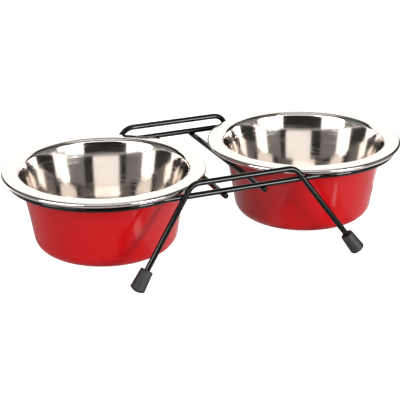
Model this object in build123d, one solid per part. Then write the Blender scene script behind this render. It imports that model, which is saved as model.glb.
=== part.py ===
from build123d import *
import os
from math import asin, atan, atan2, cos, degrees, hypot, radians, sin, sqrt, tan

# Double pet bowl: two pressed steel bowls that hang in one welded wire stand on four rubber feet.
# Millimetres and degrees. X runs from bowl to bowl, Y from front to back, Z up. The origin is on the
# floor, under the middle of the stand.

# Driving dimensions of a bowl
rim_diameter = 170.0
flange_width = 10.4
lip_radius = 4.6
curl_diameter = 3.8
curl_drop = 2.4
curl_turn = 270.0
sheet_thickness = 0.7
bowl_height = 68.5
wall_top_angle = 13.3
wall_flare_radius = 620.0
base_corner_radius = 12.8

# Driving dimensions of the stand
wire_diameter = 4.8
rim_gap = 15.8
hoop_height = 68.0
ring_inset = 3.8
run_draw_in = 3.7
run_bend_radius = 40.0
weld_set_down = 1.5
cross_bar_inset = 9.4
cross_bar_overhang = 5.0
top_bar_length = 91.0
top_bar_rise = 10.5
top_bend_radius = 12.0
leg_splay = 35.3
leg_lean = 10.6

# Driving dimensions of a foot
foot_length = 17.0
foot_top_diameter = 10.6
foot_base_diameter = 12.6
foot_dome_height = 2.2
foot_bore_depth = 12.5
foot_edge_radius = 0.9
foot_flat_depth = 0.7

# Gap between a rim and the wire that it rests on
seat_clearance = 0.3

# Sizes that follow from the driving dimensions
wire_radius = wire_diameter / 2
rim_radius = rim_diameter / 2
curl_radius = curl_diameter / 2
bowl_x = (rim_diameter + rim_gap) / 2
crest_radius = rim_radius - flange_width
curl_axis_radius = rim_radius - curl_radius
curl_height = hoop_height + wire_radius + seat_clearance + curl_radius
crest_height = curl_height + curl_drop
base_height = crest_height - bowl_height
ring_radius = curl_axis_radius - ring_inset
run_y = ring_radius - run_draw_in
weld_pitch = wire_diameter - weld_set_down


def polar(centre, radius, angle):
    """Point at a distance and an angle from a centre, in a flat drawing."""
    return (centre[0] + radius * cos(radians(angle)), centre[1] + radius * sin(radians(angle)))


def bowl_outline():
    """Half section of the sheet, as radius and height: base, corner, wall, lip, flange, rolled rim."""
    lip = (crest_radius, crest_height - lip_radius)
    curl = (curl_axis_radius, curl_height)
    # The flange is the straight line that touches the lip and the curl from above.
    reach = hypot(curl[0] - lip[0], curl[1] - lip[1])
    climb = degrees(atan2(curl[1] - lip[1], curl[0] - lip[0]))
    droop = degrees(asin((lip_radius - curl_radius) / reach)) - climb
    flange_side = 90 - droop
    # The wall is a long arc that flares outwards. It leaves the lip on the inner side, and its centre
    # lies outside the bowl.
    wall_top = 180 - wall_top_angle
    wall = polar(lip, lip_radius - wall_flare_radius, wall_top)
    corner_z = base_height + base_corner_radius
    corner_reach = wall_flare_radius - sheet_thickness + base_corner_radius
    wall_foot = 180 - degrees(asin((corner_z - wall[1]) / corner_reach))
    corner = polar(wall, corner_reach, wall_foot)
    inner_corner = base_corner_radius - sheet_thickness
    inner_lip = lip_radius - sheet_thickness
    inner_curl = curl_radius - sheet_thickness
    curl_end = flange_side - curl_turn
    lip_turn = wall_top - flange_side
    wall_turn = wall_foot - wall_top
    corner_turn = wall_foot - 90
    outer_wall = wall_flare_radius - sheet_thickness
    return [
        Line((0, base_height + sheet_thickness), polar(corner, inner_corner, -90)),
        CenterArc(corner, inner_corner, -90, corner_turn),
        CenterArc(wall, wall_flare_radius, wall_foot, -wall_turn),
        CenterArc(lip, lip_radius, wall_top, -lip_turn),
        Line(polar(lip, lip_radius, flange_side), polar(curl, curl_radius, flange_side)),
        CenterArc(curl, curl_radius, flange_side, -curl_turn),
        Line(polar(curl, curl_radius, curl_end), polar(curl, inner_curl, curl_end)),
        CenterArc(curl, inner_curl, curl_end, curl_turn),
        Line(polar(curl, inner_curl, flange_side), polar(lip, inner_lip, flange_side)),
        CenterArc(lip, inner_lip, flange_side, lip_turn),
        CenterArc(wall, outer_wall, wall_top, wall_turn),
        CenterArc(corner, base_corner_radius, corner_turn - 90, -corner_turn),
        Line(polar(corner, base_corner_radius, -90), (0, base_height)),
        Line((0, base_height), (0, base_height + sheet_thickness)),
    ]


def bowl():
    """One bowl, spun about its own axis."""
    return revolve(Plane.XZ * make_face(bowl_outline()), Axis.Z)


def wire_along(path):
    """Round wire that follows a path of straight runs and arcs."""
    section = Plane(origin=path @ 0, z_dir=path % 0) * Circle(wire_radius)
    return sweep(section, path=path)


def hoop():
    """Closed wire: for each bowl a ring open to the middle, then bends out to the straight runs."""
    bend_y = run_y + run_bend_radius
    bend_x = bowl_x - sqrt((ring_radius + run_bend_radius) ** 2 - bend_y ** 2)
    towards_bend = degrees(atan2(bend_y, bend_x - bowl_x))
    ring_start = polar((bowl_x, 0), ring_radius, towards_bend)
    bend = TangentArc((bend_x, run_y), ring_start, tangent=(1, 0))
    ring = ThreePointArc(ring_start, (bowl_x + ring_radius, 0), (ring_start[0], -ring_start[1]))
    right = [bend, ring, mirror(bend, about=Plane.XZ).edge()]
    left = [mirror(edge, about=Plane.YZ).edge() for edge in right]
    runs = [Line((-bend_x, y), (bend_x, y)) for y in (run_y, -run_y)]
    return wire_along(Pos(0, 0, hoop_height) * Wire(right + left + runs))


def cross_bar(x):
    """Straight wire welded under both runs of the hoop, with its ends standing out past them."""
    half_length = run_y + cross_bar_overhang
    z = hoop_height - weld_pitch
    return wire_along(Line((x, -half_length, z), (x, half_length, z)))


# The leg frames lean out from the hoop's runs, and the legs splay along X within each frame.
leg_slope_x = tan(radians(leg_splay))
leg_slope_y = tan(radians(leg_lean))
leg_stretch = sqrt(1 + leg_slope_x ** 2 + leg_slope_y ** 2)
leg_tilt = degrees(atan(hypot(leg_slope_x, leg_slope_y)))
top_bar_z = hoop_height + top_bar_rise
top_bar_y = run_y + weld_pitch / cos(radians(leg_lean)) - top_bar_rise * leg_slope_y
foot_base_radius = foot_base_diameter / 2
# The domed base is part of a ball. The floor cuts it a little above the ball's lowest point.
foot_ball_radius = (foot_base_radius ** 2 + foot_dome_height ** 2) / (2 * foot_dome_height)
foot_ball_rise = (foot_ball_radius - foot_dome_height) * cos(radians(leg_tilt))
foot_base_z = foot_ball_radius - foot_ball_rise - foot_flat_depth


def leg_point(side_x, side_y, z):
    """Point on the axis of a leg at a height."""
    fall = top_bar_z - z
    x = top_bar_length / 2 + leg_slope_x * fall
    y = top_bar_y + leg_slope_y * fall
    return Vector(side_x * x, side_y * y, z)


def leg_frame(side_y):
    """Bent wire: a leg, the top bar above the hoop's run and the other leg. The ends sit in the feet."""
    wire_end_z = foot_base_z + (foot_length - foot_bore_depth) / leg_stretch
    corners = [leg_point(side_x, side_y, z) for side_x, z in
               ((-1, wire_end_z), (-1, top_bar_z), (1, top_bar_z), (1, wire_end_z))]
    return wire_along(FilletPolyline(*corners, radius=top_bend_radius))


def foot(side_x, side_y):
    """Tapered rubber cap, domed below, with a blind bore for the wire and a flat where it stands."""
    base = leg_point(side_x, side_y, foot_base_z)
    up_leg = leg_point(side_x, side_y, top_bar_z) - base
    top_radius = foot_top_diameter / 2
    bore_floor = foot_length - foot_bore_depth
    half_dome = polar((0, foot_ball_radius - foot_dome_height), foot_ball_radius,
                      degrees(asin(foot_base_radius / foot_ball_radius)) / 2 - 90)
    section = make_face([
        ThreePointArc((0, -foot_dome_height), half_dome, (foot_base_radius, 0)),
        Polyline((foot_base_radius, 0), (top_radius, foot_length), (wire_radius, foot_length),
                 (wire_radius, bore_floor), (0, bore_floor), (0, -foot_dome_height))])
    rims = [corner for corner in section.vertices() if corner.X > wire_radius + foot_edge_radius]
    cap = revolve(Plane.XZ * fillet(rims, foot_edge_radius), Axis.Z)
    on_leg = Plane(origin=base, x_dir=(0, 0, 1), z_dir=up_leg)
    return split(on_leg * cap, bisect_by=Plane.XY, keep=Keep.TOP)


def build():
    """All pieces by name, each in its place."""
    closed_hoop = hoop()
    round_bowl = bowl()
    cross_bar_x = bowl_x - rim_radius + cross_bar_inset
    pieces = {"hoop": closed_hoop}
    for side, sign in (("left", -1), ("right", 1)):
        pieces[f"{side}_bowl"] = Pos(sign * bowl_x, 0, 0) * round_bowl
        pieces[f"{side}_cross_bar"] = cross_bar(sign * cross_bar_x) - closed_hoop
    for end, side_y in (("front", -1), ("back", 1)):
        pieces[f"{end}_leg_frame"] = leg_frame(side_y) - closed_hoop
        for side, side_x in (("left", -1), ("right", 1)):
            pieces[f"{end}_{side}_foot"] = foot(side_x, side_y)
    return pieces


os.makedirs("parts", exist_ok=True)
for name, piece in build().items():
    export_step(piece, f"parts/{name}.step")
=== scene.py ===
"""Double pet bowl: steel bowls, lacquered red outside, in a black wire stand on rubber feet."""

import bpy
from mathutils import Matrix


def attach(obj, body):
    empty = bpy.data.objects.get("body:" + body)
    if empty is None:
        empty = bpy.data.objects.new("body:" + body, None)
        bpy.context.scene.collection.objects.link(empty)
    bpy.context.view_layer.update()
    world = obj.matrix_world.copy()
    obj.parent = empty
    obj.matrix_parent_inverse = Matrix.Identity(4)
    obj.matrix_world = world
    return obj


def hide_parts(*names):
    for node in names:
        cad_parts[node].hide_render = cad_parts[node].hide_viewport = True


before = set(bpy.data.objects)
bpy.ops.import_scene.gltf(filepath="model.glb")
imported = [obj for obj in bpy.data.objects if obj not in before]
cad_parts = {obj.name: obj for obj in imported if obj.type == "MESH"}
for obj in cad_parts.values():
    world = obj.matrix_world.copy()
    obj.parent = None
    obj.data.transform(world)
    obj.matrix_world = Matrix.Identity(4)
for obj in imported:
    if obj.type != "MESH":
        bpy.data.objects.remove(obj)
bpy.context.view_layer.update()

import math

import bmesh
import bpy
import numpy as np
from bpy.props import FloatProperty, FloatVectorProperty, PointerProperty
from mathutils import Matrix, Vector

bl_info = {
    "name": "Double pet bowl",
    "version": (1, 0, 0),
    "blender": (4, 5, 0),
    "location": "View3D > Sidebar > Pet bowl",
    "description": "Steel bowls in a wire stand, built around the packed solids",
    "category": "Object",
}

MM = 0.001
QUARTER = math.pi / 2
SIDES = (("left", -1), ("right", 1))
ENDS = (("front", -1), ("back", 1))

# Points nearer to each other than this are merged, and creases sharper than this stay sharp.
MERGE_DISTANCE = 0.001 * MM
CREASE_ANGLE = math.radians(50.0)

# Faces round a bowl, a wire and a foot.
BOWL_FACES = 288
WIRE_FACES = 24
FOOT_FACES = 64

# Part of the wire's radius that is rounded over at the ends of the cross bars and of the legs.
CROSS_BAR_ROUND = 0.7
LEG_ROUND = 0.2

# Round of the groove in a foot, as part of the round of the foot's rims, and its depth in rounds.
GROOVE_ROUND = 0.4
GROOVE_DEPTH = 3

# Edges of the floor, in metres: left, right, front and back. The cards on it lie a little above.
FLOOR_EDGES = (-0.6, 0.6, -0.27, 0.6)
CARD_LIFT = 1.0 * MM

# Width of the camera's sensor, in millimetres, and how near and far it sees, in metres.
SENSOR_WIDTH = 36.0
NEAR_CLIP, FAR_CLIP = 0.01, 50.0


def linear(code):
    """Linear RGBA of an sRGB hex colour.

    A channel c gives c / 12.92 up to 0.04045, and ((c + 0.055) / 1.055) to the power 2.4 above.
    """
    srgb = [int(code[i:i + 2], 16) / 255 for i in (1, 3, 5)]
    return (*[c / 12.92 if c <= 0.04045 else ((c + 0.055) / 1.055) ** 2.4 for c in srgb], 1.0)


def length(label, description, millimetres):
    """Property for a length, shown in the scene's unit."""
    return FloatProperty(
        name=label, description=description, default=millimetres * MM, unit="LENGTH", precision=5)


def turn(label, description, degrees):
    """Property for an angle."""
    return FloatProperty(
        name=label, description=description, default=math.radians(degrees), subtype="ANGLE")


def colour(label, description, code):
    """Property for a colour, given as an sRGB hex value."""
    return FloatVectorProperty(
        name=label, description=description, default=linear(code), size=4, subtype="COLOR",
        min=0.0, max=1.0)


def radiance(label, description, glow):
    """Property for how brightly a light or a surface glows, where 1 shows as white."""
    return FloatProperty(name=label, description=description, default=glow, min=0.0)


class PetBowlSizes(bpy.types.PropertyGroup):
    """Sizes and colours of one bowl."""
    rim_diameter: length("Rim diameter", "Outside of the rolled rim", 170.0)
    flange_width: length("Flange width", "From the lip's crest to the outside of the rim", 10.4)
    lip_radius: length("Lip radius", "Round between wall and flange, on the upper side", 4.6)
    curl_diameter: length("Curl diameter", "Rolled edge of the sheet", 3.8)
    curl_drop: length("Curl drop", "Middle of the curl below the crest of the lip", 2.4)
    curl_turn: turn("Curl turn", "How far the edge is rolled round", 270.0)
    sheet: length("Sheet", "Thickness of the steel", 0.7)
    height: length("Height", "From the base to the crest of the lip", 68.5)
    wall_top_angle: turn("Wall angle", "Lean of the wall at the lip", 13.3)
    wall_flare_radius: length("Wall flare", "Radius of the wall's long curve", 620.0)
    corner_radius: length("Corner radius", "Outer round between base and wall", 12.8)
    curl_height: length("Curl height", "Middle of the curl above the floor", 72.6)
    spacing: length("Spacing", "Axis of a bowl from the middle of the stand", 92.9)
    lacquer: length("Lacquer", "Thickness of the coat on the outside", 0.12)
    steel_colour: colour("Steel", "Polished steel", "#f7f0ea")
    lacquer_colour: colour("Lacquer colour", "Red coat on the outside", "#c91218")


class PetStandSizes(bpy.types.PropertyGroup):
    """Sizes and colours of the wire stand and its feet."""
    wire_diameter: length("Wire diameter", "Coated wire", 4.8)
    hoop_height: length("Hoop height", "Axis of the hoop above the floor", 68.0)
    ring_radius: length("Ring radius", "Axis of the wire round a bowl", 79.3)
    run_distance: length("Run distance", "Axis of the straight runs from the middle", 75.6)
    run_bend_radius: length("Run bend", "Bend between a run and a ring", 40.0)
    weld_pitch: length("Weld pitch", "Distance between the axes of welded wires", 3.3)
    cross_bar_place: length("Cross bar place", "Axis of a cross bar from the middle", 17.3)
    cross_bar_overhang: length("Overhang", "End of a cross bar past the run's axis", 5.0)
    top_bar_length: length("Top bar", "Between the axes of the legs, at the top", 91.0)
    top_bar_rise: length("Top bar rise", "Top bar above the hoop", 10.5)
    top_bend_radius: length("Top bend", "Bend between top bar and leg", 12.0)
    leg_splay: turn("Leg splay", "Lean of the legs along the stand", 35.3)
    leg_lean: turn("Leg lean", "Lean of a leg frame to the front or back", 10.6)
    foot_length: length("Foot length", "Along the leg", 17.0)
    foot_top_diameter: length("Foot top", "Diameter at the wire's end", 10.6)
    foot_base_diameter: length("Foot base", "Diameter at the floor's end", 12.6)
    foot_dome_height: length("Foot dome", "Bulge of the base", 2.2)
    foot_bore_depth: length("Foot bore", "Depth of the wire in the foot", 12.5)
    foot_edge_radius: length("Foot edge", "Round of the foot's rims", 0.9)
    foot_flat_depth: length("Foot flat", "How far the dome is pressed flat on the floor", 0.7)
    wire_colour: colour("Wire colour", "Black coating", "#060606")
    rubber_colour: colour("Rubber colour", "Charcoal rubber", "#2b2b2c")


class PetStage(bpy.types.PropertyGroup):
    """Floor, lights and camera."""
    floor_colour: colour("Floor", "Pale floor", "#d8d8d8")
    floor_glow: radiance("Floor glow", "Light that comes up through the floor", 1.0)
    room_colour: colour("Room", "Dim studio round the lights", "#2a2a27")
    backdrop_colour: colour("Backdrop", "What the camera sees past the floor", "#ffffff")
    softbox_glow: radiance("Softboxes", "Softboxes at the sides", 1.8)
    core_glow: radiance("Softbox core", "Middle of a softbox", 18.0)
    panel_glow: radiance("Panels", "Panels in front", 1.7)
    card_glow: radiance("Card", "White card behind", 1.16)
    wall_glow: radiance("Walls", "Grey walls at the sides", 0.185)
    overhead_glow: radiance("Overhead", "Panel overhead", 0.6)
    ceiling_glow: radiance("Ceiling", "Ceiling above the panel", 0.1)
    floor_card_glow: radiance("Floor cards", "Cards on the floor", 0.8)
    panel_distance: length("Panel distance", "Upright panels from the middle", 1600.0)
    lens: FloatProperty(
        name="Lens", description="Focal length", default=111.91, subtype="DISTANCE_CAMERA")
    camera_azimuth: turn("Camera azimuth", "Camera to the right of the front", -22.666)
    camera_elevation: turn("Camera elevation", "Camera above the level", 21.638)
    camera_roll: turn("Camera roll", "Turn of the camera about its view", -0.431)
    camera_distance: length("Camera distance", "Camera from its target", 1080.16)
    camera_target: FloatVectorProperty(
        name="Camera target", description="Point in the middle of the view",
        default=(-6.709 * MM, 0.0, 30.816 * MM), subtype="TRANSLATION", precision=5)


def ray(angle):
    """Unit vector (cos, sin) of an angle, in a flat drawing."""
    return np.array([math.cos(angle), math.sin(angle)])


def arc(centre, radius, start, sweep, count):
    """Points of an arc: centre + radius * (cos a, sin a), with a running evenly over the sweep."""
    a = start + sweep * np.linspace(0.0, 1.0, count)
    return np.asarray(centre) + radius * np.stack([np.cos(a), np.sin(a)], axis=1)


def line(first, last, count):
    """Points of a straight line, evenly spaced."""
    return np.linspace(first, last, count)


def joined(*runs):
    """Runs of points put end to end, each without its last point, which the next one repeats."""
    return np.concatenate([run[:-1] for run in runs[:-1]] + [runs[-1]])


def walk(start, heading, moves):
    """Flat path of straight runs and arcs, as points and headings.

    A move is a length, a turn and a count. Along a move the heading grows evenly by the turn, so
    the point is the start plus length / turn times the change of (sin, -cos) of the heading, or
    goes straight on where the turn is 0.
    """
    points, headings = [], []
    here = np.asarray(start, float)
    for distance, bend, count in moves:
        s = np.linspace(0.0, 1.0, count)
        angle = heading + bend * s
        if bend:
            step = np.stack([np.sin(angle) - math.sin(heading),
                             math.cos(heading) - np.cos(angle)], axis=1)
            run = here + distance / bend * step
        else:
            run = here + np.outer(distance * s, ray(heading))
        points.append(run)
        headings.append(angle)
        here, heading = run[-1], heading + bend
    return joined(*points), joined(*headings)


def run_length(points):
    """Distance along a path up to each of its points."""
    steps = np.linalg.norm(np.diff(points, axis=0), axis=1)
    return np.concatenate([[0.0], np.cumsum(steps)])


def surface(name, points, along, around, grain, material):
    """Mesh object of the quads between neighbouring rows and columns of a grid of points.

    The UV map holds the distances along and around the surface, in metres. The attribute "grain"
    holds a place on the surface, in millimetres, that has no seam. Points that meet on a seam or a
    pole are merged, and a closed skin whose volume comes out negative is turned round.
    """
    rows, columns = points.shape[:2]
    index = np.arange(rows * columns).reshape(rows, columns)
    corners = [index[:-1, :-1], index[1:, :-1], index[1:, 1:], index[:-1, 1:]]
    quads = np.stack(corners, axis=-1).reshape(-1, 4)
    mesh = bpy.data.meshes.new(name)
    mesh.from_pydata(points.reshape(-1, 3).tolist(), [], quads.tolist())
    uv = np.stack(np.broadcast_arrays(along, around), axis=-1).reshape(-1, 2)[quads.ravel()]
    mesh.uv_layers.new(name="UVMap").data.foreach_set("uv", uv.astype(np.float32).ravel())
    mesh.attributes.new("grain", "FLOAT_VECTOR", "POINT").data.foreach_set(
        "vector", (grain / MM).astype(np.float32).ravel())
    form = bmesh.new()
    form.from_mesh(mesh)
    bmesh.ops.remove_doubles(form, verts=form.verts, dist=MERGE_DISTANCE)
    if form.calc_volume(signed=True) < 0:
        bmesh.ops.reverse_faces(form, faces=form.faces)
    form.to_mesh(mesh)
    form.free()
    mesh.polygons.foreach_set("use_smooth", np.ones(len(mesh.polygons), bool))
    mesh.set_sharp_from_angle(angle=CREASE_ANGLE)
    mesh.materials.append(material)
    piece = bpy.data.objects.new(name, mesh)
    bpy.context.scene.collection.objects.link(piece)
    return piece


def spun(name, profile, place, axes, count, material, floor=None):
    """Surface of revolution: a profile of radius and height turned about an axis.

    A point is place + radius * (cos a * x + sin a * y) + height * z. Where a floor is given, what
    lies under it is slid up along z until it is on the floor.
    """
    a = np.linspace(0.0, 2 * math.pi, count + 1)
    ring = np.cos(a)[:, None] * axes[0] + np.sin(a)[:, None] * axes[1]
    points = place + profile[:, None, :1] * ring + profile[:, None, 1:] * axes[2]
    if floor is not None:
        points = points + np.maximum(floor - points[..., 2:], 0.0) / axes[2][2] * axes[2]
    distance = run_length(profile)[:, None]
    widest = profile[:, 0].max()
    grain = np.stack(
        np.broadcast_arrays(widest * np.cos(a), widest * np.sin(a), distance), axis=-1)
    return surface(name, points, widest * a, distance, grain, material)


def tube(name, path, tangent, normal, radius, count, material):
    """Round wire along a path in one plane.

    A point is the path's point + radius * (cos a * (normal x tangent) + sin a * normal). The
    radius may change along the path, which rounds the ends.
    """
    a = np.linspace(0.0, 2 * math.pi, count + 1)
    side = np.cross(normal, tangent)
    ring = np.cos(a)[None, :, None] * side[:, None] + np.sin(a)[None, :, None] * normal
    points = path[:, None] + radius[:, None, None] * ring
    distance = run_length(path)[:, None]
    thick = radius.max()
    grain = np.stack(
        np.broadcast_arrays(thick * np.cos(a), thick * np.sin(a), distance), axis=-1)
    return surface(name, points, distance, thick * a, grain, material)


def rounded_ends(path, tangent, thick, edge, count=9):
    """Path, tangents and radii of a wire whose two ends are rounded over and closed.

    At an end the radius is thick - edge + edge * cos a while the point goes edge * sin a further,
    for a from 0 to 90 degrees, and one last point of no radius closes the end.
    """
    a = np.linspace(0.0, QUARTER, count)
    further = np.append(edge * np.sin(a), edge)
    radius = np.append(thick - edge + edge * np.cos(a), 0.0)
    head = path[0] - further[::-1, None] * tangent[0]
    tail = path[-1] + further[:, None] * tangent[-1]
    points = np.concatenate([head, path[1:-1], tail])
    tangents = np.concatenate([
        np.repeat(tangent[:1], count + 1, 0), tangent[1:-1],
        np.repeat(tangent[-1:], count + 1, 0)])
    radii = np.concatenate([radius[::-1], np.full(len(path) - 2, thick), radius])
    return points, tangents, radii


def settled(piece, body, slot, *nodes):
    """The piece rides on its body and stands for its nodes, whose parts are hidden. The slot is not
    used.
    """
    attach(piece, body)
    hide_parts(*nodes)


def add_node(tree, kind, inputs=None, **settings):
    """Adds a node with its own settings. Each input gets a value, or a link from a socket."""
    new = tree.nodes.new(kind)
    for key, value in settings.items():
        setattr(new, key, value)
    for key, value in (inputs or {}).items():
        if isinstance(value, bpy.types.NodeSocket):
            tree.links.new(value, new.inputs[key])
        else:
            new.inputs[key].default_value = value
    return new


def new_material(name):
    """Material with an empty node tree, and that tree."""
    material = bpy.data.materials.new(name)
    material.use_nodes = True
    material.node_tree.nodes.clear()
    return material, material.node_tree


def finished(tree, shader):
    """Joins a shader to the material's output."""
    add_node(tree, "ShaderNodeOutputMaterial", {"Surface": shader.outputs[0]})


def toned(shade, share):
    """Colour with its light multiplied by a share."""
    return [c * share for c in shade[:3]] + [1.0]


def polished_steel(shade):
    """Stainless steel, spun and polished: a warm mirror with fine lines round the bowl and haze."""
    material, tree = new_material("polished_stainless_steel")
    place = add_node(tree, "ShaderNodeAttribute", attribute_name="grain")
    # Polishing lines 0.6 mm apart and about 50 mm long, with finer ones between them.
    lines_at = add_node(tree, "ShaderNodeMapping", {
        "Vector": place.outputs["Vector"], "Scale": (1 / 50, 1 / 50, 1 / 0.6)})
    lines = add_node(tree, "ShaderNodeTexNoise", {
        "Vector": lines_at.outputs[0], "Scale": 1.0, "Detail": 3.0, "Roughness": 0.6})
    # Broad soft clouds of handling haze, 25 mm across.
    clouds_at = add_node(tree, "ShaderNodeMapping", {
        "Vector": place.outputs["Vector"], "Scale": (1 / 25, 1 / 25, 1 / 18)})
    clouds = add_node(tree, "ShaderNodeTexNoise", {
        "Vector": clouds_at.outputs[0], "Scale": 1.0, "Detail": 2.0, "Roughness": 0.5})
    haze = add_node(tree, "ShaderNodeMapRange", {
        "Value": clouds.outputs["Fac"], "From Min": 0.3, "From Max": 0.7,
        "To Min": 0.06, "To Max": 0.09})
    # Marks of the polishing wheel, 1.6 mm apart and 40 mm long. They scatter a little light, which
    # shows as faint streaks where the mirror is dark.
    marks_at = add_node(tree, "ShaderNodeMapping", {
        "Vector": place.outputs["Vector"], "Scale": (1 / 40, 1 / 40, 1 / 1.6)})
    marks = add_node(tree, "ShaderNodeTexNoise", {
        "Vector": marks_at.outputs[0], "Scale": 1.0, "Detail": 2.0, "Roughness": 0.5})
    gloss = add_node(tree, "ShaderNodeMapRange", {
        "Value": marks.outputs["Fac"], "From Min": 0.48, "From Max": 0.74,
        "To Min": haze.outputs[0], "To Max": 0.165})
    tone = add_node(tree, "ShaderNodeMix", {
        "Factor": lines.outputs["Fac"], "A": toned(shade, 0.92), "B": shade}, data_type="RGBA")
    bump = add_node(tree, "ShaderNodeBump", {
        "Height": lines.outputs["Fac"], "Strength": 0.05, "Distance": 0.02 * MM})
    finished(tree, add_node(tree, "ShaderNodeBsdfPrincipled", {
        "Base Color": tone.outputs["Result"], "Metallic": 1.0, "Roughness": gloss.outputs[0],
        "Normal": bump.outputs[0]}))
    return material


def red_lacquer(shade):
    """Stoved red lacquer on steel: deep even red under a clear gloss, with a faint orange peel."""
    material, tree = new_material("stoved_red_lacquer")
    place = add_node(tree, "ShaderNodeAttribute", attribute_name="grain")
    # Orange peel about 2.5 mm across, and broad drifts of tone 40 mm across.
    peel_at = add_node(tree, "ShaderNodeMapping", {
        "Vector": place.outputs["Vector"], "Scale": (1 / 2.5, 1 / 2.5, 1 / 2.5)})
    peel = add_node(tree, "ShaderNodeTexNoise", {
        "Vector": peel_at.outputs[0], "Scale": 1.0, "Detail": 2.0, "Roughness": 0.45})
    drift_at = add_node(tree, "ShaderNodeMapping", {
        "Vector": place.outputs["Vector"], "Scale": (1 / 40, 1 / 40, 1 / 90)})
    drift = add_node(tree, "ShaderNodeTexNoise", {
        "Vector": drift_at.outputs[0], "Scale": 1.0, "Detail": 2.0, "Roughness": 0.5})
    tone = add_node(tree, "ShaderNodeMix", {
        "Factor": drift.outputs["Fac"], "A": toned(shade, 0.88), "B": shade}, data_type="RGBA")
    gloss = add_node(tree, "ShaderNodeMapRange", {
        "Value": peel.outputs["Fac"], "From Min": 0.3, "From Max": 0.7,
        "To Min": 0.09, "To Max": 0.16})
    bump = add_node(tree, "ShaderNodeBump", {
        "Height": peel.outputs["Fac"], "Strength": 0.04, "Distance": 0.05 * MM})
    finished(tree, add_node(tree, "ShaderNodeBsdfPrincipled", {
        "Base Color": tone.outputs["Result"], "Roughness": gloss.outputs[0], "IOR": 1.5,
        "Specular IOR Level": 0.3, "Normal": bump.outputs[0]}))
    return material


def black_coating(shade):
    """Dip coating on wire: smooth semi-gloss black with a slight ripple along the wire."""
    material, tree = new_material("semi_gloss_black_coating")
    place = add_node(tree, "ShaderNodeAttribute", attribute_name="grain")
    # Ripple 1.2 mm across and 6 mm long.
    ripple_at = add_node(tree, "ShaderNodeMapping", {
        "Vector": place.outputs["Vector"], "Scale": (1 / 1.2, 1 / 1.2, 1 / 6)})
    ripple = add_node(tree, "ShaderNodeTexNoise", {
        "Vector": ripple_at.outputs[0], "Scale": 1.0, "Detail": 3.0, "Roughness": 0.5})
    gloss = add_node(tree, "ShaderNodeMapRange", {
        "Value": ripple.outputs["Fac"], "From Min": 0.3, "From Max": 0.7,
        "To Min": 0.05, "To Max": 0.09})
    tone = add_node(tree, "ShaderNodeMix", {
        "Factor": ripple.outputs["Fac"], "A": toned(shade, 0.7), "B": shade}, data_type="RGBA")
    bump = add_node(tree, "ShaderNodeBump", {
        "Height": ripple.outputs["Fac"], "Strength": 0.15, "Distance": 0.05 * MM})
    finished(tree, add_node(tree, "ShaderNodeBsdfPrincipled", {
        "Base Color": tone.outputs["Result"], "Roughness": gloss.outputs[0], "IOR": 1.5,
        "Specular IOR Level": 0.35, "Normal": bump.outputs[0]}))
    return material


def moulded_rubber(shade):
    """Moulded rubber: matt charcoal with a fine grit that breaks the light up."""
    material, tree = new_material("moulded_rubber")
    place = add_node(tree, "ShaderNodeAttribute", attribute_name="grain")
    # Grit 0.5 mm across, and dusty patches 5 mm across.
    grit_at = add_node(tree, "ShaderNodeMapping", {
        "Vector": place.outputs["Vector"], "Scale": (1 / 0.5, 1 / 0.5, 1 / 0.5)})
    grit = add_node(tree, "ShaderNodeTexNoise", {
        "Vector": grit_at.outputs[0], "Scale": 1.0, "Detail": 3.0, "Roughness": 0.6})
    dust_at = add_node(tree, "ShaderNodeMapping", {
        "Vector": place.outputs["Vector"], "Scale": (1 / 5, 1 / 5, 1 / 5)})
    dust = add_node(tree, "ShaderNodeTexNoise", {
        "Vector": dust_at.outputs[0], "Scale": 1.0, "Detail": 3.0, "Roughness": 0.6})
    tone = add_node(tree, "ShaderNodeMix", {
        "Factor": dust.outputs["Fac"], "A": toned(shade, 0.75), "B": toned(shade, 1.25)},
        data_type="RGBA")
    matt = add_node(tree, "ShaderNodeMapRange", {
        "Value": grit.outputs["Fac"], "From Min": 0.3, "From Max": 0.7,
        "To Min": 0.5, "To Max": 0.7})
    bump = add_node(tree, "ShaderNodeBump", {
        "Height": grit.outputs["Fac"], "Strength": 0.3, "Distance": 0.1 * MM})
    finished(tree, add_node(tree, "ShaderNodeBsdfPrincipled", {
        "Base Color": tone.outputs["Result"], "Roughness": matt.outputs[0], "IOR": 1.52,
        "Normal": bump.outputs[0]}))
    return material


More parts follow.
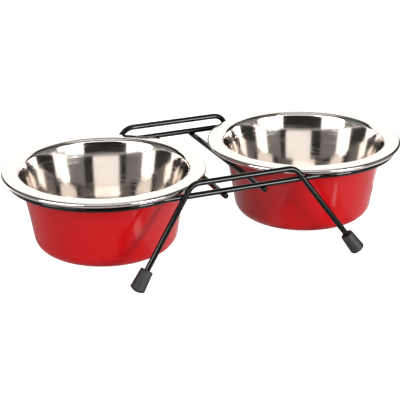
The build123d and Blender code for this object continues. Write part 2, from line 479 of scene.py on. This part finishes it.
def bowl_section(bowl):
    """Runs of the sheet's section, as radius and height: inner side, rim, underside of the rim.

    The wall is a long arc that touches the lip and the corner, and the flange is the line that
    touches the lip and the curl from above. A run on the outer side lies one sheet thickness off
    the same centre. The fourth result gives the runs of the outer side, at an offset.
    """
    sheet = bowl.sheet
    curl_radius = bowl.curl_diameter / 2
    curl = np.array([bowl.rim_diameter / 2 - curl_radius, bowl.curl_height])
    crest_height = bowl.curl_height + bowl.curl_drop
    base = crest_height - bowl.height
    lip = np.array([bowl.rim_diameter / 2 - bowl.flange_width, crest_height - bowl.lip_radius])
    reach, climb = np.linalg.norm(curl - lip), math.atan2(curl[1] - lip[1], curl[0] - lip[0])
    side = QUARTER - math.asin((bowl.lip_radius - curl_radius) / reach) + climb
    end = side - bowl.curl_turn
    top = math.pi - bowl.wall_top_angle
    wall = lip + (bowl.lip_radius - bowl.wall_flare_radius) * ray(top)
    corner_reach = bowl.wall_flare_radius - sheet + bowl.corner_radius
    foot = math.pi - math.asin((base + bowl.corner_radius - wall[1]) / corner_reach)
    corner = wall + corner_reach * ray(foot)
    inner = [
        line((0.0, base + sheet), (corner[0], base + sheet), 12),
        arc(corner, bowl.corner_radius - sheet, -QUARTER, foot - QUARTER, 20),
        arc(wall, bowl.wall_flare_radius, foot, top - foot, 48),
        arc(lip, bowl.lip_radius, top, side - top, 32)]
    rim = [
        line(inner[-1][-1], curl + curl_radius * ray(side), 10),
        arc(curl, curl_radius, side, -bowl.curl_turn, 44)]
    under = [
        line(rim[-1][-1], curl + (curl_radius - sheet) * ray(end), 3),
        arc(curl, curl_radius - sheet, end, bowl.curl_turn, 24),
        line(curl + (curl_radius - sheet) * ray(side),
             lip + (bowl.lip_radius - sheet) * ray(side), 6),
        arc(lip, bowl.lip_radius - sheet, side, top - side, 16)]

    def outside(offset):
        """Wall, corner and base on the outer side, that far out from the steel."""
        return [
            arc(wall, bowl.wall_flare_radius - sheet - offset, top, foot - top, 40),
            arc(corner, bowl.corner_radius + offset, foot - math.pi, QUARTER - foot, 20),
            line((corner[0], base - offset), (0.0, base - offset), 12)]

    return inner, rim, under, outside


class PETBOWL_OT_bowls(bpy.types.Operator):
    """Builds the two steel bowls and the lacquer on their outside"""
    bl_idname = "petbowl.bowls"
    bl_label = "Bowls"

    def execute(self, context):
        bowl = context.scene.pet_bowl
        steel, lacquer = polished_steel(bowl.steel_colour), red_lacquer(bowl.lacquer_colour)
        inner, rim, under, outside = bowl_section(bowl)
        section = joined(*inner, *rim, *under, *outside(0.0))
        # The coat is a closed skin: its back is hidden in the middle of the sheet.
        hidden = joined(*outside(-0.5 * bowl.sheet))
        coat = np.concatenate([hidden[::-1], joined(*outside(bowl.lacquer))])
        for side, sign in SIDES:
            node = f"{side}_bowl"
            place = np.array([sign * bowl.spacing, 0.0, 0.0])
            for finish, profile, material, slot in (
                    ("steel", section, steel, "polished_steel"),
                    ("lacquer", coat, lacquer, "red_lacquer")):
                piece = spun(f"{node}_{finish}", profile, place, np.eye(3), BOWL_FACES, material)
                settled(piece, node, slot, node)
        return {"FINISHED"}


def leg_shape(stand):
    """Slopes and heights of the legs: an axis moves out by slope times the fall below the top."""
    slope_x, slope_y = math.tan(stand.leg_splay), math.tan(stand.leg_lean)
    stretch = math.sqrt(1 + slope_x ** 2 + slope_y ** 2)
    tilt = math.atan(math.hypot(slope_x, slope_y))
    top = stand.hoop_height + stand.top_bar_rise
    weld = stand.weld_pitch / math.cos(stand.leg_lean)
    top_y = stand.run_distance + weld - stand.top_bar_rise * slope_y
    dome = stand.foot_dome_height
    ball = ((stand.foot_base_diameter / 2) ** 2 + dome ** 2) / (2 * dome)
    base = ball - (ball - dome) * math.cos(tilt) - stand.foot_flat_depth

    def point(side_x, side_y, z):
        """Point on the axis of a leg at a height."""
        fall = top - z
        x, y = stand.top_bar_length / 2 + slope_x * fall, top_y + slope_y * fall
        return np.array([side_x * x, side_y * y, z])

    return {
        "slope_x": slope_x, "slope_y": slope_y, "stretch": stretch, "top": top, "base": base,
        "point": point, "ball": ball, "lean_stretch": math.sqrt(1 + slope_y ** 2),
        "wire_end": base + (stand.foot_length - stand.foot_bore_depth) / stretch}


def hoop_path(stand, spacing):
    """Points and tangents of the closed hoop.

    Half of it is a run, a bend, a ring and a bend, and the other half is the same turned by 180
    degrees. A bend touches its run and its ring from outside, so the middle of the bend is as far
    from the middle of the ring as the two radii together.
    """
    reach = stand.ring_radius + stand.run_bend_radius
    bend_y = stand.run_distance + stand.run_bend_radius
    bend_x = spacing - math.sqrt(reach ** 2 - bend_y ** 2)
    bend = math.asin((spacing - bend_x) / reach)
    ring = math.pi + 2 * bend
    moves = [
        (2 * bend_x, 0.0, 40), (stand.run_bend_radius * bend, bend, 12),
        (stand.ring_radius * ring, -ring, 200), (stand.run_bend_radius * bend, bend, 12)]
    flat, heading = walk((-bend_x, stand.run_distance), 0.0, moves * 2)
    path = np.column_stack([flat, np.full(len(flat), stand.hoop_height)])
    return path, np.column_stack([np.cos(heading), np.sin(heading), np.zeros(len(flat))])


def cross_bar_path(stand, sign, edge):
    """Points and tangents of a cross bar, straight and under the runs, without its round ends."""
    reach = stand.run_distance + stand.cross_bar_overhang - edge
    path = np.stack(np.broadcast_arrays(
        sign * stand.cross_bar_place, np.linspace(-reach, reach, 60),
        stand.hoop_height - stand.weld_pitch), axis=-1)
    return path, np.tile([0.0, 1.0, 0.0], (len(path), 1))


def leg_frame_path(stand, sign):
    """Points, tangents and normal of a leg frame.

    It is a leg, a bend, the top bar, a bend and the other leg, walked in a plane that leans out.
    Each bend takes its radius times the tangent of half its turn off the runs beside it.
    """
    shape = leg_shape(stand)
    sideways = np.array([1.0, 0.0, 0.0])
    rise = np.array([0.0, -sign * shape["slope_y"], 1.0]) / shape["lean_stretch"]
    tilt = math.atan2(shape["lean_stretch"], shape["slope_x"])
    cut = stand.top_bend_radius * math.tan(tilt / 2)
    leg = ((shape["top"] - shape["wire_end"]) * shape["stretch"] - cut, 0.0, 60)
    bend = (stand.top_bend_radius * tilt, -tilt, 20)
    bar = (stand.top_bar_length - 2 * cut, 0.0, 40)
    flat, heading = walk((0.0, 0.0), tilt, [leg, bend, bar, bend, leg])
    start = shape["point"](-1, sign, shape["wire_end"])
    path = start + np.outer(flat[:, 0], sideways) + np.outer(flat[:, 1], rise)
    tangent = np.outer(np.cos(heading), sideways) + np.outer(np.sin(heading), rise)
    return path, tangent, np.cross(sideways, rise)


class PETBOWL_OT_stand(bpy.types.Operator):
    """Builds the wires of the stand"""
    bl_idname = "petbowl.stand"
    bl_label = "Wire stand"

    def execute(self, context):
        stand = context.scene.pet_stand
        coating = black_coating(stand.wire_colour)
        thick = stand.wire_diameter / 2
        upright = np.array([0.0, 0.0, 1.0])

        def add_wire(node, path, tangent, normal, radius):
            """Wire that stands for a node of the stand."""
            piece = tube(f"wire_{node}", path, tangent, normal, radius, WIRE_FACES, coating)
            settled(piece, "stand", "black_wire", node)

        path, tangent = hoop_path(stand, context.scene.pet_bowl.spacing)
        add_wire("hoop", path, tangent, upright, np.full(len(path), thick))
        edge = CROSS_BAR_ROUND * thick
        for side, sign in SIDES:
            path, tangent = cross_bar_path(stand, sign, edge)
            path, tangent, radius = rounded_ends(path, tangent, thick, edge)
            add_wire(f"{side}_cross_bar", path, tangent, upright, radius)
        for end, sign in ENDS:
            path, tangent, normal = leg_frame_path(stand, sign)
            path, tangent, radius = rounded_ends(path, tangent, thick, LEG_ROUND * thick)
            add_wire(f"{end}_leg_frame", path, tangent, normal, radius)
        return {"FINISHED"}


def foot_profile(stand, ball_radius):
    """Profile of a foot, as radius and height: groove round the wire, top, tapered side, dome.

    The round of the top rim touches the flat end and the side, and that of the base rim touches
    the side and the ball of the dome. Both centres lie on a line one round inside the side.
    """
    edge, tall = stand.foot_edge_radius, stand.foot_length
    top_radius, base_radius = stand.foot_top_diameter / 2, stand.foot_base_diameter / 2
    taper = math.atan2(base_radius - top_radius, tall)
    outward, upward = ray(taper), ray(taper + QUARTER)
    inside = np.array([base_radius, 0.0]) - edge * outward
    top_edge = inside + (tall - edge - inside[1]) / upward[1] * upward
    ball = np.array([0.0, ball_radius - stand.foot_dome_height])
    offset = inside - ball
    along = offset @ upward
    drop = along + math.sqrt(along ** 2 - offset @ offset + (ball_radius - edge) ** 2)
    base_edge = inside - drop * upward
    dome_start = math.atan2(base_edge[1] - ball[1], base_edge[0])
    hole, groove = stand.wire_diameter / 2, GROOVE_ROUND * edge
    groove_floor = tall - GROOVE_DEPTH * groove
    return joined(
        line((0.0, groove_floor), (hole, groove_floor), 4),
        line((hole, groove_floor), (hole, tall - groove), 3),
        arc((hole + groove, tall - groove), groove, math.pi, -QUARTER, 6),
        line((hole + groove, tall), top_edge + np.array([0.0, edge]), 8),
        arc(top_edge, edge, QUARTER, taper - QUARTER, 10),
        line(top_edge + edge * outward, base_edge + edge * outward, 24),
        arc(base_edge, edge, taper, dome_start - taper, 10),
        arc(ball, ball_radius, dome_start, -QUARTER - dome_start, 24))


class PETBOWL_OT_feet(bpy.types.Operator):
    """Builds the four rubber feet"""
    bl_idname = "petbowl.feet"
    bl_label = "Feet"

    def execute(self, context):
        stand = context.scene.pet_stand
        rubber = moulded_rubber(stand.rubber_colour)
        shape = leg_shape(stand)
        profile = foot_profile(stand, shape["ball"])
        for end, side_y in ENDS:
            for side, side_x in SIDES:
                base = shape["point"](side_x, side_y, shape["base"])
                up = shape["point"](side_x, side_y, shape["top"]) - base
                up = up / np.linalg.norm(up)
                across = np.cross([0.0, 1.0, 0.0], up)
                across = across / np.linalg.norm(across)
                axes = np.stack([across, np.cross(up, across), up])
                piece = spun(f"{end}_{side}_rubber_foot", profile, base, axes, FOOT_FACES, rubber,
                             floor=0.0)
                settled(piece, "stand", "foot_rubber", f"{end}_{side}_foot")
        return {"FINISHED"}


class PETBOWL_OT_stage(bpy.types.Operator):
    """Sets out the floor, the lights and the camera"""
    bl_idname = "petbowl.stage"
    bl_label = "Stage"

    def execute(self, context):
        scene, stage = context.scene, context.scene.pet_stage
        self.add_floor(scene, stage)
        self.add_room(scene, stage)
        self.add_panels(scene, stage)
        self.add_cards(scene, stage)
        self.add_camera(scene, stage)
        return {"FINISHED"}

    @staticmethod
    def add_floor(scene, stage):
        """White board, which glows to the camera as if lit from below and shows hardly a shadow."""
        material, tree = new_material("white_board_floor")
        board = add_node(tree, "ShaderNodeBsdfPrincipled", {
            "Base Color": stage.floor_colour, "Roughness": 0.9, "Specular IOR Level": 0.1})
        glow = add_node(tree, "ShaderNodeEmission", {
            "Color": stage.backdrop_colour, "Strength": stage.floor_glow})
        lit = add_node(tree, "ShaderNodeAddShader", {0: board.outputs[0], 1: glow.outputs[0]})
        seen = add_node(tree, "ShaderNodeLightPath")
        finished(tree, add_node(tree, "ShaderNodeMixShader", {
            0: seen.outputs["Is Camera Ray"], 1: board.outputs[0], 2: lit.outputs[0]}))
        left, right, front, back = FLOOR_EDGES
        corners = [(left, front, 0), (right, front, 0), (right, back, 0), (left, back, 0)]
        mesh = bpy.data.meshes.new("floor")
        mesh.from_pydata(corners, [], [(0, 1, 2, 3)])
        mesh.materials.append(material)
        floor = bpy.data.objects.new("floor", mesh)
        scene.collection.objects.link(floor)

    @staticmethod
    def add_room(scene, stage):
        """Dim room in reflections, and a white backdrop to the camera."""
        world = bpy.data.worlds.new("dim_studio")
        world.use_nodes = True
        tree = world.node_tree
        tree.nodes.clear()
        seen = add_node(tree, "ShaderNodeLightPath")
        room = add_node(tree, "ShaderNodeBackground", {
            "Color": stage.room_colour, "Strength": 1.0})
        backdrop = add_node(tree, "ShaderNodeBackground", {
            "Color": stage.backdrop_colour, "Strength": 1.0})
        mix = add_node(tree, "ShaderNodeMixShader", {
            0: seen.outputs["Is Camera Ray"], 1: room.outputs[0], 2: backdrop.outputs[0]})
        add_node(tree, "ShaderNodeOutputWorld", {"Surface": mix.outputs[0]})
        scene.world = world

    def add_panels(self, scene, stage):
        """Upright panels round the object, and level ones over it.

        An upright panel touches a circle about the object, and its edges lie at the tangents of
        its angles.
        """
        # Name, compass angles from the back and angles above the floor, in degrees, and glow.
        upright_panels = (
            ("left_softbox", -127, -90, 0, 37, stage.softbox_glow),
            ("left_softbox_core", -108, -90, 2, 20, 0.3 * stage.core_glow),
            ("left_strip", -135, -117, 29.5, 33.5, 0.8 * stage.core_glow),
            ("right_softbox", 133, 173, 0, 37, stage.softbox_glow),
            ("right_softbox_core", 147, 164, 0, 20, stage.core_glow),
            ("front_right_panel", 155, 192, 36, 50, stage.panel_glow),
            ("front_panel", 192, 229, 36, 50, stage.panel_glow),
            ("front_left_panel", 229, 266, 36, 50, stage.panel_glow),
            ("left_wall", -90, -42, 0, 30, stage.wall_glow),
            ("left_wall_top", -90, -42, 30, 45, 0.75 * stage.wall_glow),
            ("right_wall", 82, 133, 0, 30, stage.wall_glow),
            ("right_wall_top", 82, 133, 30, 45, 0.75 * stage.wall_glow))
        away = stage.panel_distance
        for name, first, last, low, high, glow in upright_panels:
            middle, half = math.radians((first + last) / 2), math.radians((last - first) / 2)
            bottom, top = (away * math.tan(math.radians(a)) for a in (low, high))
            place = Vector((away * math.sin(middle), away * math.cos(middle), (bottom + top) / 2))
            facing = Vector((-place.x, -place.y, 0.0))
            self.add_panel(
                scene, name, place, facing, 2 * away * math.tan(half), top - bottom, glow)
        # Name, height and width in metres, and glow.
        level_panels = (
            ("ceiling", 2.2, 3.0, stage.ceiling_glow),
            ("overhead_panel", 2.0, 1.4, stage.overhead_glow))
        for name, height, wide, glow in level_panels:
            place, facing = Vector((0.0, 0.0, height)), Vector((0.0, 0.0, -1.0))
            self.add_panel(scene, name, place, facing, wide, wide, glow)

    def add_cards(self, scene, stage):
        """White card that stands close behind, to the right, and white cards on the floor.

        Only gloss picks up those on the floor: the rims and the wire the ones at the back, the
        sides of the lacquer the ones between and beside the bowls, and its front the strips.
        """
        start, end = Vector((-0.24, 0.62, 0.0)), Vector((0.42, 0.26, 0.0))
        low, high = 0.09, 0.5
        place = (start + end) / 2 + Vector((0.0, 0.0, (low + high) / 2))
        facing = Vector((end.y - start.y, start.x - end.x, 0.0))
        self.add_panel(
            scene, "back_card", place, facing, (end - start).length, high - low, stage.card_glow)
        # Name, two corners in metres, turn in degrees, and share of the cards' glow.
        floor_cards = (
            ("left_floor_card", (-0.6, 0.1), (-0.2, 0.6), 0, 1.0),
            ("right_floor_card", (0.2, 0.0), (0.6, 0.6), 0, 1.0),
            ("middle_floor_card", (-0.045, -0.055), (0.045, 0.085), 0, 0.47),
            ("front_floor_card", (-0.056, -0.1), (0.015, -0.055), 0, 0.6),
            ("side_floor_card", (0.13, -0.14), (0.3, 0.0), 0, 0.42),
            ("left_floor_strip", (-0.069, -0.119), (-0.052, -0.094), 0, 2.4),
            ("right_floor_strip", (0.112, -0.122), (0.12, -0.096), -34, 3.0))
        for name, (left, front), (right, back), turned, share in floor_cards:
            place = Vector(((left + right) / 2, (front + back) / 2, CARD_LIFT))
            card = self.add_panel(
                scene, name, place, Vector((0.0, 0.0, 1.0)), right - left, back - front,
                share * stage.floor_card_glow, math.radians(turned))
            card.visible_diffuse = False

    @staticmethod
    def add_panel(scene, name, place, facing, width, tall, glow, turned=0.0):
        """Area light of an even glow: its power is the radiance times pi times its area."""
        lamp = bpy.data.lights.new(name, "AREA")
        lamp.shape, lamp.size, lamp.size_y = "RECTANGLE", width, tall
        lamp.energy = glow * math.pi * width * tall
        aim = facing.to_track_quat("-Z", "Y").to_matrix() @ Matrix.Rotation(turned, 3, "Z")
        panel = bpy.data.objects.new(name, lamp)
        panel.visible_camera = False
        panel.matrix_world = Matrix.Translation(place) @ aim.to_4x4()
        scene.collection.objects.link(panel)
        return panel

    @staticmethod
    def add_camera(scene, stage):
        """Camera that looks at its target from an azimuth, an elevation and a distance."""
        level = math.cos(stage.camera_elevation)
        back = Vector((
            math.sin(stage.camera_azimuth) * level, -math.cos(stage.camera_azimuth) * level,
            math.sin(stage.camera_elevation)))
        aim = (-back).to_track_quat("-Z", "Y").to_matrix()
        aim = aim @ Matrix.Rotation(stage.camera_roll, 3, "Z")
        place = Vector(stage.camera_target) + back * stage.camera_distance
        camera = bpy.data.objects.new("camera", bpy.data.cameras.new("camera"))
        camera.data.lens, camera.data.sensor_width = stage.lens, SENSOR_WIDTH
        camera.data.clip_start, camera.data.clip_end = NEAR_CLIP, FAR_CLIP
        camera.matrix_world = Matrix.Translation(place) @ aim.to_4x4()
        scene.collection.objects.link(camera)
        scene.camera = camera
        scene.view_settings.view_transform = "Standard"


class PETBOWL_PT_panel(bpy.types.Panel):
    """Lists the pieces in the order in which they are built"""
    bl_idname = "PETBOWL_PT_panel"
    bl_label = "Double pet bowl"
    bl_space_type = "VIEW_3D"
    bl_region_type = "UI"
    bl_category = "Pet bowl"

    def draw(self, context):
        for operator in OPERATORS:
            self.layout.operator(operator.bl_idname)
        for group in (context.scene.pet_bowl, context.scene.pet_stand, context.scene.pet_stage):
            box = self.layout.box()
            for key in group.__annotations__:
                box.prop(group, key)


OPERATORS = (PETBOWL_OT_bowls, PETBOWL_OT_stand, PETBOWL_OT_feet, PETBOWL_OT_stage)
GROUPS = {"pet_bowl": PetBowlSizes, "pet_stand": PetStandSizes, "pet_stage": PetStage}


def register():
    """Registers the classes and hangs the groups of properties on the scene."""
    for kind in (*GROUPS.values(), *OPERATORS, PETBOWL_PT_panel):
        bpy.utils.register_class(kind)
    for key, group in GROUPS.items():
        setattr(bpy.types.Scene, key, PointerProperty(type=group))


def unregister():
    """Takes back what register did."""
    for key in GROUPS:
        delattr(bpy.types.Scene, key)
    for kind in (PETBOWL_PT_panel, *OPERATORS, *GROUPS.values()):
        bpy.utils.unregister_class(kind)


def main():
    """Builds every piece and the stage."""
    register()
    for operator in OPERATORS:
        group, name = operator.bl_idname.split(".")
        getattr(getattr(bpy.ops, group), name)()


if __name__ == "__main__":
    main()
